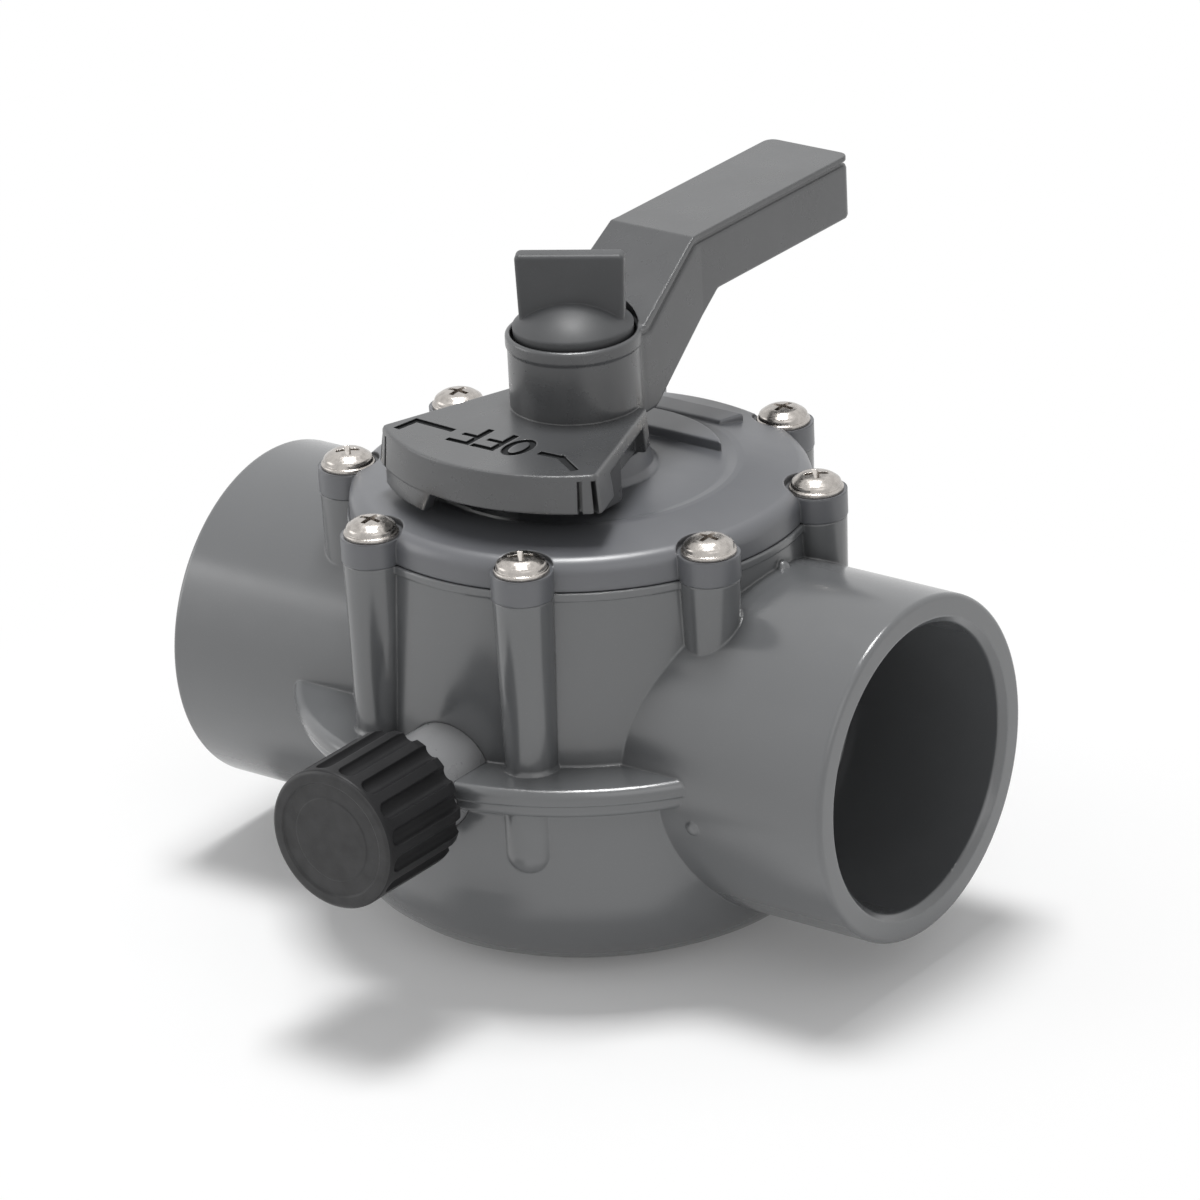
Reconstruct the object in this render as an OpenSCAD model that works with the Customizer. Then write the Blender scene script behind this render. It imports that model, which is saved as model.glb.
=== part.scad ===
/* [Ports] */
// Inside diameter of the two pipe sockets
socket_bore_d = 60.5; // [60:0.1:61]
// Depth of each socket to its pipe stop
socket_depth = 38; // [34:0.5:39]
// Outside diameter of the two pipe sockets
socket_outer_d = 73; // [71:0.5:74]
// Thickness of the stop behind each pipe
pipe_stop_t = 1.7; // [1.6:0.1:4]
// Diameter of the passage behind each pipe stop
passage_d = 52.4; // [48:0.2:53]

/* [Housing] */
// Inside diameter of the chamber
chamber_d = 87; // [84:0.1:92]
// Thickness of the chamber floor
floor_t = 7; // [6:0.1:8]
// Width of the bowl's side outside the chamber
bowl_side_w = 13; // [12:0.1:14]
// Radius of the bowl's lower corner
bowl_corner_r = 23; // [16:0.5:24]
// Width of the shelf ring outside the bowl
shelf_w = 5.5; // [4:0.1:6.5]
// Thickness of the shelf ring
shelf_t = 6.4; // [5:0.1:7]
// Distance of the screws from the chamber wall
screw_offset = 6.3; // [6:0.1:7]

/* [Cover] */
// Width of the cover's edge outside the chamber
cover_edge_w = 4.5; // [4:0.1:5]
// Thickness of the cover's rim
cover_rim_t = 6.4; // [5.5:0.1:7]
// Diameter of the stem where it runs in the cover
stem_d = 16; // [15:0.1:16.6]
// Height of the boss above the cover's rim
boss_height = 7; // [6:0.1:7.4]
// Distance of the stop pad's face from the stem axis
pad_face = 20.7; // [18:0.1:22]

/* [Screws] */
// Diameter of a screw head
head_d = 11.4; // [10.5:0.1:12]
// Diameter of a screw shank
shank_d = 4.1; // [3.8:0.1:4.4]
// Length of a screw under its head
shank_length = 16; // [14:0.5:17]

/* [Handle] */
// Radius of the handle's fan plate
fan_r = 40.5; // [38:0.5:42]
// Half width of the fan plate at the stem axis
fan_half_w = 15.3; // [14:0.1:17]
// Angle of the fan plate's sides from the handle's line
fan_angle = 24.5; // [20:0.5:28]
// Height of the skirt round the fan plate
skirt_height = 8.4; // [7:0.1:9]
// Thickness of the hub's wall round the knob
hub_wall = 1.1; // [1:0.1:3]
// Height of the hub above the fan plate
hub_height = 15.8; // [15:0.1:17]
// Width of the handle's grip
grip_w = 21; // [18:0.5:24]
// Reach of the grip from the stem axis
grip_reach = 86; // [76:1:100]
// Thickness of the grip from top to bottom
grip_t = 14.2; // [12:0.2:16]

/* [Knob] */
// Diameter of the knob's disc
knob_d = 25; // [22:0.1:28]
// Height of the knob's wing above the hub
wing_height = 16.8; // [14:0.2:20]
// Width of the knob's wing
wing_w = 22.6; // [18:0.2:24]
// Thickness of the knob's wing
wing_t = 4.6; // [3.6:0.1:6]
// Angle of the wing from the port line
wing_angle = 30.3; // [0:0.1:180]
// Diameter of the knob's screw
stud_d = 6; // [5.4:0.1:6.4]

/* [Capped outlet] */
// Outside diameter of the outlet's thread
outlet_d = 20.96; // [20:0.02:21.5]
// Bore of the outlet
outlet_bore_d = 13; // [10:0.2:14]
// Outside diameter of the cap
cap_d = 30; // [28.6:0.1:32]
// Length of the cap
cap_length = 24.1; // [20:0.1:25]
// Gap between the cap and the shelf ring
cap_gap = 2.3; // [1:0.1:6]
// Number of grip grooves round the cap
cap_grooves = 16; // [12:1:20]

/* [Hidden] */
$fn = 96;
fit = 0.05;
chamber_r = chamber_d / 2;
half_length = chamber_r + pipe_stop_t + socket_depth;
wall_low_r = chamber_r + 6.5;
wall_top_r = chamber_r + 4.6;
bowl_r = chamber_r + bowl_side_w;
shelf_r = bowl_r + shelf_w;
shelf_round_r = 2;
screw_r = chamber_r + screw_offset;
cover_r = chamber_r + cover_edge_w;
lip_h = 1.8;
floor_round_r = 7;
post_top_r = 6.2;
post_low_r = 5.4;
bump_r = 5.7;
bump_drop = 10;
bump_out = 3.2;

seal_w = 3;
seal_r = passage_d / 2 + 2.7;
seal_face_r = chamber_r - 0.1;
seal_root_r = chamber_r - 2.9;
gate_half = seal_r + 3.7;
gate_out_r = chamber_r - 1.3;
gate_in_r = chamber_r - 5;
gate_floor_gap = 4.9;
gate_cover_gap = 9;
web_t = 4;
web_half = gate_half * 0.74;
brace_t = 3;
brace_z = web_half - 1;
brace_tip_r = gate_in_r + 0.8;

zp = floor_t + gate_floor_gap + gate_half;
shelf_top = zp + 4;
cover_low = zp + gate_half + gate_cover_gap;
rim_top = cover_low + cover_rim_t;
rim_round_r = 3.5;
ear_r = 6.4;
ear_top = cover_low + 5.4;
head_h = 3.5;
head_round_r = 7.9;
cross_w = 5.8;
cross_t = 1.2;
cross_depth = 1.8;
boss_top = rim_top + boss_height;
boss_r = stem_d / 2 + 6;
dish_r = cover_r - 15.5;
plug_depth = 6.1;
plug_r = chamber_r - 0.1;
ring_t = 2.28;
ring_drop = 2.9;
pad_r = pad_face * 1.435;
pad_rise = 3.7;
lug_rise = 2.8;
lug_w = 6;
lug_half = 13;
lug_flare = 2;
lug_in = 16;
plug_wall = 4;

stem_r = stem_d / 2;
stem_bore_r = stem_r + fit;
gate_hub_r = stem_r + 2;
washer_t = 1.5;
shoulder_z = cover_low - plug_depth - washer_t;
pivot_r = stem_r * 0.625;
bush_wall = 1.5;
bush_r = pivot_r + bush_wall;
bush_low = floor_t - 3;
bush_top = floor_t + 3;
cover_bush_h = 5;
hub_low = bush_top + washer_t;
groove_w = 2.6;
groove_zs = [cover_low + 1.2, cover_low + 6.2];
stem_ring_t = 1.92;

skirt_gap = 0.6;
skirt_low = boss_top + skirt_gap;
skirt_t = 2.4;
plate_t = 3.5;
fan_top = skirt_low + skirt_height;
fan_low = fan_top - plate_t;
fan_corner_r = 3.5;
fan_u = fan_half_w * cos(fan_angle) - fan_corner_r;
fan_v = sqrt(pow(fan_r - fan_corner_r, 2) - fan_u * fan_u);
fan_cx = fan_u * cos(fan_angle) + fan_v * sin(fan_angle);
fan_cy = fan_u * sin(fan_angle) - fan_v * cos(fan_angle);
fan_tip_angle = atan2(fan_cy, fan_cx);
fan_back = 4;
tab_gap = 0.2;
tab_t = 3;
tab_w = 8;
tab_low = rim_top + 2.7;
sleeve_r = stem_r + 3.6;
hub_top = fan_top + hub_height;
knob_r = knob_d / 2;
recess_r = knob_r + 0.5;
hub_r = recess_r + hub_wall;
recess_z = hub_top - 4.3;
stem_top = recess_z - 3;
drive_r = stem_r - 0.4;
drive_half = drive_r * 0.74;
stem_proud = 1.4;
insert_r = stud_d / 2 + 1.3;
insert_low = stem_top - 14.5;
stud_hole_r = stud_d / 2 + 0.3;
knob_washer_t = 1.2;
knob_low = recess_z + knob_washer_t;
stud_low = insert_low + 2;
stud_grip = 6;
dome_top = hub_top + 6.7;
dome_rise = 5.2;
wing_round_r = 2.5;
wing_top = hub_top + wing_height;
grip_top = hub_top + 12.6;
grip_low = grip_top - grip_t;
grip_round = 2.5;
crank_low_y = hub_r - 1.6;
crank_top_y = hub_r - 5.5;
crank_end_y = hub_r + 22.8;
crank_rise_y = hub_r + 14.4;
arm_neck_y = 9;
arm_grip_y = crank_end_y - 6;

outlet_r = outlet_d / 2;
outlet_seat = chamber_r + 1;
gasket_t = 1.3;
cap_end_t = 3.5;
cap_edge = 1;
cap_back = shelf_r + cap_gap;
cap_end = cap_back + cap_length;
outlet_reach = cap_end - cap_end_t - gasket_t;
cap_bore_r = outlet_r + 0.1;
groove_r = 1.6;
groove_out = 0.3;
groove_stop = 2.6;
thread_pitch = 1.814;
thread_h = 1.15;
thread_start = cap_back + 1.7;
thread_turns = floor((outlet_reach - thread_start - 2) / thread_pitch);

// a tube that stands on z = 0
module tube(r_out, r_in, h) {
  difference() {
    cylinder(r = r_out, h = h);
    translate([0, 0, -1]) cylinder(r = r_in, h = h + 2);
  }
}

// children at each of the eight screw places
module at_screws() {
  for (k = [0:7]) rotate([0, 0, 22.5 + 45 * k]) translate([screw_r, 0, 0]) children();
}

// children laid along -Y from the port line
module along_outlet(start) {
  translate([0, -start, zp]) rotate([90, 0, 0]) children();
}

// half section of the bowl, the shelf and the chamber wall
module housing_section() {
  difference() {
    union() {
      square([bowl_r - bowl_corner_r, shelf_top - 1]);
      translate([bowl_r - bowl_corner_r, bowl_corner_r]) circle(r = bowl_corner_r);
      translate([0, bowl_corner_r]) square([bowl_r, shelf_top - 1 - bowl_corner_r]);
      translate([0, shelf_top - shelf_t]) square([shelf_r - shelf_round_r, shelf_t]);
      translate([0, shelf_top - shelf_t + shelf_round_r])
        square([shelf_r, shelf_t - 2 * shelf_round_r]);
      for (z = [shelf_top - shelf_round_r, shelf_top - shelf_t + shelf_round_r])
        translate([shelf_r - shelf_round_r, z]) circle(r = shelf_round_r);
      polygon([[0, shelf_top - 1], [wall_low_r, shelf_top - 1], [wall_low_r, shelf_top],
        [wall_top_r, cover_low - lip_h], [wall_top_r + 0.5, cover_low - lip_h],
        [wall_top_r + 0.5, cover_low], [0, cover_low]]);
    }
    translate([-shelf_r, -1]) square([shelf_r, cover_low + 2]);
  }
}

// half section of the space inside the chamber
module chamber_section() {
  translate([0, floor_t]) square([chamber_r - floor_round_r, cover_low]);
  intersection() {
    translate([chamber_r - floor_round_r, floor_t + floor_round_r]) circle(r = floor_round_r);
    square([chamber_r + 1, floor_t + floor_round_r]);
  }
  translate([0, floor_t + floor_round_r]) square([chamber_r, cover_low]);
}

// grey moulded housing with both sockets, posts and shelf
module housing() color([0.42, 0.43, 0.45]) {
  difference() {
    union() {
      rotate_extrude() housing_section();
      translate([-half_length, 0, zp]) rotate([0, 90, 0])
        cylinder(d = socket_outer_d, h = 2 * half_length);
      at_screws() translate([0, 0, zp + 2])
        cylinder(r1 = post_low_r, r2 = post_top_r, h = cover_low - zp - 2);
      for (k = [1, 2, 5, 6]) rotate([0, 0, 22.5 + 45 * k])
        translate([screw_r + bump_out, 0, shelf_top - shelf_t - bump_drop]) {
          cylinder(r = bump_r, h = bump_drop + 2);
          sphere(r = bump_r);
        }
    }
    rotate_extrude() chamber_section();
    translate([-half_length - 1, 0, zp]) rotate([0, 90, 0])
      cylinder(d = passage_d, h = 2 * half_length + 2);
    for (s = [0, 180]) rotate([0, 0, s]) {
      translate([half_length - socket_depth, 0, zp]) rotate([0, 90, 0])
        cylinder(d = socket_bore_d, h = socket_depth + 1);
      translate([half_length - 0.8, 0, zp]) rotate([0, 90, 0])
        cylinder(d1 = socket_bore_d, d2 = socket_bore_d + 3.6, h = 1.8);
    }
    along_outlet(0) cylinder(d = outlet_bore_d, h = bowl_r);
    along_outlet(outlet_seat) cylinder(r = outlet_r + fit, h = cap_length + shelf_r);
    at_screws() translate([0, 0, ear_top - shank_length - 1])
      cylinder(r = shank_d / 2 + fit, h = shank_length + 2);
    translate([0, 0, bush_low]) cylinder(r = bush_r + fit, h = cover_low);
  }
  translate([0, 0, floor_t - 1]) tube(gate_hub_r, bush_r + fit, bush_top - floor_t + 1);
}

// threaded nipple set in the front of the housing
module outlet_nipple() color([0.5, 0.51, 0.53]) {
  along_outlet(outlet_seat) difference() {
    union() {
      cylinder(r = outlet_r, h = cap_back + 0.5 - outlet_seat);
      cylinder(r = outlet_r - thread_h + 0.05, h = outlet_reach - outlet_seat);
      translate([0, 0, thread_start - outlet_seat])
        rotate_extrude() for (k = [0:thread_turns]) translate([outlet_r, k * thread_pitch])
          polygon([[-thread_h - 1, 0], [-thread_h, 0], [0, 0.75],
            [0, 0.95], [-thread_h, 1.7], [-thread_h - 1, 1.7]]);
    }
    translate([0, 0, -1]) cylinder(d = outlet_bore_d, h = outlet_reach);
  }
}

// bearing sleeve for the lower pivot
module floor_bushing() color([0.9, 0.88, 0.8]) {
  translate([0, 0, bush_low]) tube(bush_r, pivot_r + fit, bush_top - bush_low);
}

// half section of the cover
module cover_section() {
  difference() {
    union() {
      translate([0, cover_low]) square([cover_r, cover_rim_t - rim_round_r]);
      translate([0, cover_low]) square([cover_r - rim_round_r, cover_rim_t]);
      translate([cover_r - rim_round_r, rim_top - rim_round_r]) circle(r = rim_round_r);
      polygon([[0, cover_low], [cover_r - rim_round_r, rim_top], [dish_r + 1.4, rim_top + 2.1],
        [dish_r, rim_top + 2.1], [dish_r - 2, rim_top + 1.6], [boss_r + 2.4, rim_top + 1.7],
        [boss_r + 1.4, rim_top + 2.6], [boss_r, boss_top], [0, boss_top]]);
      translate([0, cover_low - plug_depth]) square([plug_r, plug_depth + 1]);
    }
    polygon([[boss_r - 0.5, cover_low - plug_depth - 1],
      [plug_r - plug_wall, cover_low - plug_depth - 1], [plug_r - plug_wall, cover_low + 0.5],
      [boss_r + 0.5, cover_low + 2], [boss_r - 0.5, cover_low + 1]]);
    translate([plug_r - 2.2, cover_low - 4.2]) square([chamber_r, 2.6]);
    translate([-1, 0]) square([stem_bore_r + 1, boss_top + 1]);
    translate([-1, cover_low - plug_depth - 1])
      square([stem_r + bush_wall + fit + 1, cover_bush_h + 1]);
  }
}

// grey cover with ears, stop pad and rim lug
module cover() color([0.42, 0.43, 0.45]) {
  difference() {
    union() {
      rotate_extrude() cover_section();
      difference() {
        at_screws() translate([0, 0, cover_low]) cylinder(r = ear_r, h = ear_top - cover_low);
        translate([0, 0, cover_low - 1])
          cylinder(r = cover_r - rim_round_r + 0.5, h = cover_rim_t + 2);
      }
      intersection() {
        translate([0, 0, rim_top]) cylinder(r = pad_r, h = pad_rise);
        translate([-pad_r, pad_face, rim_top]) cube([2 * pad_r, pad_r, pad_rise]);
      }
      translate([0, cover_r - lug_in, rim_top - 1]) linear_extrude(height = lug_rise + 1)
        polygon([[-lug_half, 0], [lug_half, 0], [lug_half + lug_flare, lug_w],
          [-lug_half - lug_flare, lug_w]]);
    }
    at_screws() translate([0, 0, cover_low - 2])
      cylinder(r = shank_d / 2 + 0.25, h = cover_rim_t + 4);
    at_screws() translate([0, 0, ear_top]) cylinder(r = ear_r + 0.2, h = cover_rim_t);
  }
}

// bearing sleeve for the stem in the cover
module cover_bushing() color([0.9, 0.88, 0.8]) {
  translate([0, 0, cover_low - plug_depth]) tube(stem_r + bush_wall, stem_bore_r, cover_bush_h);
}

// round ring between the cover and the chamber wall
module cover_seal_ring() color([0.08, 0.08, 0.08]) {
  translate([0, 0, cover_low - ring_drop]) rotate_extrude()
    translate([chamber_r - ring_t / 2 - 0.02, 0]) circle(r = ring_t / 2, $fn = 32);
}

// eight pan head screws
module cover_screws() color([0.8, 0.8, 0.82]) {
  at_screws() difference() {
    union() {
      translate([0, 0, ear_top]) intersection() {
        cylinder(d = head_d, h = head_h);
        translate([0, 0, head_h - head_round_r]) sphere(r = head_round_r);
      }
      translate([0, 0, ear_top - shank_length + 1.5]) cylinder(d = shank_d, h = shank_length);
      translate([0, 0, ear_top - shank_length]) cylinder(d1 = shank_d - 2, d2 = shank_d, h = 1.5);
    }
    for (a = [0, 90]) rotate([0, 0, a + 20])
      translate([-cross_w / 2, -cross_t / 2, ear_top + head_h - cross_depth])
        cube([cross_w, cross_t, head_h]);
  }
}

// shell piece in front of the stem, cut by a round outline
module wrapped_disc(r_in, r_out, outline_r) {
  intersection() {
    translate([0, 0, zp - gate_half - 2]) tube(r_out, r_in, 2 * gate_half + 4);
    along_outlet(0) cylinder(r = outline_r, h = bowl_r);
  }
}

// the turning gate with its stem
module diverter() color([0.2, 0.2, 0.22]) {
  difference() {
    union() {
      difference() {
        wrapped_disc(gate_in_r, gate_out_r, gate_half);
        difference() {
          wrapped_disc(seal_root_r, gate_out_r + 1, seal_r + seal_w / 2);
          along_outlet(0) cylinder(r = seal_r - seal_w / 2, h = bowl_r);
        }
      }
      translate([0, 0, hub_low]) cylinder(r = gate_hub_r, h = shoulder_z - hub_low);
      translate([0, 0, bush_low + 0.5]) cylinder(r = pivot_r, h = hub_low - bush_low);
      translate([0, 0, shoulder_z - 1]) cylinder(r = stem_r, h = boss_top + stem_proud - shoulder_z);
      intersection() {
        translate([0, 0, shoulder_z]) cylinder(r = drive_r, h = stem_top - shoulder_z);
        translate([-drive_half, -stem_d, shoulder_z])
          cube([2 * drive_half, 2 * stem_d, stem_top - shoulder_z]);
      }
      translate([-web_t / 2, -gate_in_r - 1, zp - web_half])
        cube([web_t, gate_in_r + 1, 2 * web_half]);
      for (z = [zp - brace_z, zp + brace_z - brace_t])
        translate([0, 0, z]) linear_extrude(height = brace_t)
          polygon([[-gate_hub_r + 1, -3], [gate_hub_r - 1, -3],
            [brace_tip_r * sin(30), -brace_tip_r * cos(30)], [0, -brace_tip_r],
            [-brace_tip_r * sin(30), -brace_tip_r * cos(30)]]);
    }
    for (z = groove_zs) translate([0, 0, z]) tube(stem_r + 1, stem_r - 1.9, groove_w);
    translate([0, 0, insert_low - 2]) cylinder(r = stud_hole_r, h = stem_top);
    translate([0, 0, insert_low]) cylinder(r = insert_r + 0.02, h = stem_top);
  }
}

// rubber ring that closes a port
module diverter_seal() color([0.06, 0.06, 0.06]) {
  difference() {
    wrapped_disc(seal_root_r, seal_face_r, seal_r + seal_w / 2);
    along_outlet(0) cylinder(r = seal_r - seal_w / 2, h = bowl_r);
  }
}

// a round ring in a stem groove
module stem_ring(z) {
  translate([0, 0, z + groove_w / 2]) rotate_extrude()
    translate([stem_r + 0.03 - stem_ring_t / 2, 0]) circle(r = stem_ring_t / 2, $fn = 32);
}

module stem_seal_lower() color([0.06, 0.06, 0.06]) stem_ring(groove_zs[0]);

module stem_seal_upper() color([0.06, 0.06, 0.06]) stem_ring(groove_zs[1]);

// washer under the gate's hub
module thrust_washer() color([0.92, 0.92, 0.88]) {
  translate([0, 0, bush_top]) tube(gate_hub_r - 0.6, pivot_r + 0.1, washer_t);
}

// washer between the stem's shoulder and the cover
module wear_washer() color([0.92, 0.92, 0.88]) {
  translate([0, 0, shoulder_z]) tube(gate_hub_r + 2, stem_r + 0.1, washer_t);
}

// threaded sleeve in the top of the stem
module stem_insert() color([0.72, 0.58, 0.3]) {
  translate([0, 0, insert_low]) tube(insert_r, stud_d / 2 + fit, stem_top - insert_low);
}

// points of an arc without its two ends
function inner_arc(r, a0, a1, n) = [for (k = [1:n - 1])
  [r * cos(a0 + (a1 - a0) * k / n), r * sin(a0 + (a1 - a0) * k / n)]];

// points of one rounded corner of the fan plate, on side s
function fan_corner(s, r) = [for (k = [0:6])
  let (a = fan_angle + (fan_tip_angle - fan_angle) * (s > 0 ? k : 6 - k) / 6)
  [s * (fan_cx + r * cos(a)), fan_cy + r * sin(a)]];

// outline of the fan plate, drawn in by a distance
module fan_outline(i) {
  back_x = (fan_half_w * cos(fan_angle) - i - (fan_back - i) * sin(fan_angle)) / cos(fan_angle);
  polygon(concat([[back_x, fan_back - i]], fan_corner(1, fan_corner_r - i),
    inner_arc(fan_r - i, fan_tip_angle, -180 - fan_tip_angle, 26),
    fan_corner(-1, fan_corner_r - i), [[-back_x, fan_back - i]]));
}

// plan outline of the arm and grip
module arm_plan() {
  polygon([[-hub_r, 0], [-hub_r, arm_neck_y], [-grip_w / 2, arm_grip_y],
    [-grip_w / 2, grip_reach - grip_round], [-grip_w / 2 + grip_round, grip_reach],
    [grip_w / 2 - grip_round, grip_reach], [grip_w / 2, grip_reach - grip_round],
    [grip_w / 2, arm_grip_y], [hub_r, arm_neck_y], [hub_r, 0]]);
}

// side outline of the arm and grip
module arm_side() {
  polygon([[0, fan_low], [crank_low_y, fan_low], [crank_end_y, grip_low], [grip_reach, grip_low],
    [grip_reach, grip_top - 1], [grip_reach - 1, grip_top], [crank_rise_y, grip_top],
    [crank_rise_y - 1.5, grip_top - 0.7], [crank_top_y, hub_top], [0, hub_top]]);
}

// handle with fan plate, hub, cranked arm, grip and two stop tabs
module handle() color([0.33, 0.34, 0.36]) {
  difference() {
    union() {
      translate([0, 0, skirt_low]) linear_extrude(height = skirt_height) fan_outline(0);
      translate([0, 0, skirt_low + 1]) cylinder(r = hub_r, h = hub_top - skirt_low - 1);
      intersection() {
        translate([0, 0, skirt_low]) linear_extrude(height = grip_top) arm_plan();
        rotate([90, 0, 90]) translate([0, 0, -grip_w - hub_r])
          linear_extrude(height = 2 * (grip_w + hub_r)) arm_side();
      }
    }
    difference() {
      translate([0, 0, skirt_low - 1]) linear_extrude(height = fan_low - skirt_low + 1)
        fan_outline(skirt_t);
      cylinder(r = sleeve_r, h = fan_low);
    }
    translate([0, 0, skirt_low - 1]) intersection() {
      cylinder(r = drive_r + fit, h = stem_top - skirt_low + 1.1);
      translate([-drive_half - fit, -stem_d, 0])
        cube([2 * (drive_half + fit), 2 * stem_d, stem_top]);
    }
    cylinder(r = stud_hole_r, h = hub_top + 1);
    translate([0, 0, recess_z]) cylinder(r = recess_r, h = hub_top);
  }
  for (s = [-1, 1]) translate([s * (pad_face - tab_gap - tab_t / 2) - tab_t / 2,
      -pad_face - 0.3, tab_low])
    cube([tab_t, tab_w, fan_low - tab_low + 1]);
}

// washer that stays under the knob
module knob_washer() color([0.8, 0.8, 0.82]) {
  translate([0, 0, recess_z]) tube(knob_r - 1, stud_d / 2 + 0.1, knob_washer_t);
}

// lock knob with domed disc and wing
module lock_knob() color([0.3, 0.31, 0.33]) {
  dome_r = (knob_r * knob_r + dome_rise * dome_rise) / (2 * dome_rise);
  difference() {
    union() {
      intersection() {
        translate([0, 0, knob_low]) cylinder(r = knob_r, h = dome_top - knob_low);
        translate([0, 0, dome_top - dome_r]) sphere(r = dome_r);
      }
      rotate([90, 0, wing_angle]) translate([0, 0, -wing_t / 2])
        linear_extrude(height = wing_t) {
          translate([-wing_w / 2, hub_top + 1.7])
            square([wing_w, wing_top - wing_round_r - hub_top - 1.7]);
          translate([-wing_w / 2 + wing_round_r, hub_top])
            square([wing_w - 2 * wing_round_r, wing_height]);
          for (s = [-1, 1])
            translate([s * (wing_w / 2 - wing_round_r), wing_top - wing_round_r])
              circle(r = wing_round_r);
        }
    }
    translate([0, 0, knob_low - 1]) cylinder(r = stud_d / 2 + 0.02, h = stud_grip + 1);
  }
}

// screw of the lock knob
module knob_stud() color([0.78, 0.78, 0.8]) {
  translate([0, 0, stud_low]) cylinder(d = stud_d, h = knob_low + stud_grip - stud_low);
}

// flat ring under the cap's end
module outlet_gasket() color([0.1, 0.1, 0.1]) {
  along_outlet(outlet_reach) tube(outlet_r, outlet_bore_d / 2 - 0.4, gasket_t);
}

// grooved black cap
module outlet_cap() color([0.08, 0.08, 0.09]) {
  along_outlet(cap_back) difference() {
    union() {
      cylinder(d = cap_d, h = cap_length - cap_edge);
      translate([0, 0, cap_length - cap_edge])
        cylinder(d1 = cap_d, d2 = cap_d - 2 * cap_edge, h = cap_edge);
    }
    for (k = [0:cap_grooves - 1]) rotate([0, 0, (k + 0.5) * 360 / cap_grooves])
      translate([cap_d / 2 + groove_out, 0, -1])
        cylinder(r = groove_r, h = cap_length - groove_stop + 1, $fn = 24);
    translate([0, 0, -1]) cylinder(r = cap_bore_r, h = cap_length - cap_end_t + 1);
    translate([0, 0, cap_length - 0.6]) cylinder(d = cap_d - 6, h = 2);
  }
}

housing();
outlet_nipple();
floor_bushing();
cover();
cover_bushing();
cover_seal_ring();
cover_screws();
diverter();
diverter_seal();
stem_seal_lower();
stem_seal_upper();
thrust_washer();
wear_washer();
stem_insert();
handle();
knob_washer();
lock_knob();
knob_stud();
outlet_gasket();
outlet_cap();
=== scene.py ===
import math
import bpy
from mathutils import Matrix, Vector


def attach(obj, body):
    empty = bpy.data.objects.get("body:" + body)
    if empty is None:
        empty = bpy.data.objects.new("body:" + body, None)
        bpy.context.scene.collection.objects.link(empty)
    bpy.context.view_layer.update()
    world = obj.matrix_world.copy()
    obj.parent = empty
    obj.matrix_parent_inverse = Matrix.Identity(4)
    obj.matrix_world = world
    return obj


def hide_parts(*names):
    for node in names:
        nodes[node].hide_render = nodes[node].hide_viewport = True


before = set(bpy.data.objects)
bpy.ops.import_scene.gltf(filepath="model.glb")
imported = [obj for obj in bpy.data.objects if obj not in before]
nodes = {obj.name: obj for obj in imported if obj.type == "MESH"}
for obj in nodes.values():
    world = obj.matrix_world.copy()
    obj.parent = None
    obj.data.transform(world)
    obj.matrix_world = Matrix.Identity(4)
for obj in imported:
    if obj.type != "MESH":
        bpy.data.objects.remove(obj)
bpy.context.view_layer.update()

mm = 0.001
portHeight = 44.5             # mm, height of the port line
fullTurn = 2 * math.pi


# small helpers for work in edit mode

def clearSelection():
    if bpy.context.object is not None and bpy.context.object.mode != "OBJECT":
        bpy.ops.object.mode_set(mode="OBJECT")
    bpy.ops.object.select_all(action="DESELECT")


def pick(piece):
    clearSelection()
    piece.select_set(True)
    bpy.context.view_layer.objects.active = piece


def closeUp(piece, reach=0.001):
    # weld doubles and turn all faces outward, reach in mm
    pick(piece)
    bpy.ops.object.mode_set(mode="EDIT")
    bpy.ops.mesh.select_all(action="SELECT")
    bpy.ops.mesh.remove_doubles(threshold=reach * mm)
    bpy.ops.mesh.normals_make_consistent(inside=False)
    bpy.ops.object.mode_set(mode="OBJECT")
    return piece


def drawLine(name, points):
    # a plane shrunk to one vertex, which is then pulled out along the points
    clearSelection()
    bpy.ops.mesh.primitive_plane_add(size=mm, location=(0, 0, 0))
    piece = bpy.context.object
    piece.name = name
    piece.data.name = name
    bpy.ops.object.mode_set(mode="EDIT")
    bpy.ops.mesh.select_all(action="SELECT")
    bpy.ops.mesh.merge(type="CENTER")
    here = Vector(points[0]) * mm
    bpy.ops.transform.translate(value=here)
    for point in points[1:]:
        there = Vector(point) * mm
        bpy.ops.mesh.extrude_vertices_move(TRANSFORM_OT_translate={"value": there - here})
        here = there
    return piece


def roundOff(outline, radius=0.0, steps=5):
    # every corner of a closed outline gets its own third number or the common radius
    done = []
    for i, corner in enumerate(outline):
        here = Vector(corner[:2])
        before = Vector(outline[i - 1][:2]) - here
        after = Vector(outline[(i + 1) % len(outline)][:2]) - here
        r = corner[2] if len(corner) > 2 else radius
        if r <= 0 or before.length < 1e-6 or after.length < 1e-6:
            done.append(tuple(here))
            continue
        before.normalize()
        after.normalize()
        half = before.angle(after) / 2
        if half > 1.55:
            done.append(tuple(here))
            continue
        reach = r / math.tan(half)
        centre = here + (before + after).normalized() * r / math.sin(half)
        first = here + before * reach - centre
        last = here + after * reach - centre
        sweep = math.pi - 2 * half
        for k in range(steps + 1):
            t = k / steps
            spoke = (first * math.sin((1 - t) * sweep) + last * math.sin(t * sweep)) / math.sin(sweep)
            done.append(tuple(centre + spoke))
    return done


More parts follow.
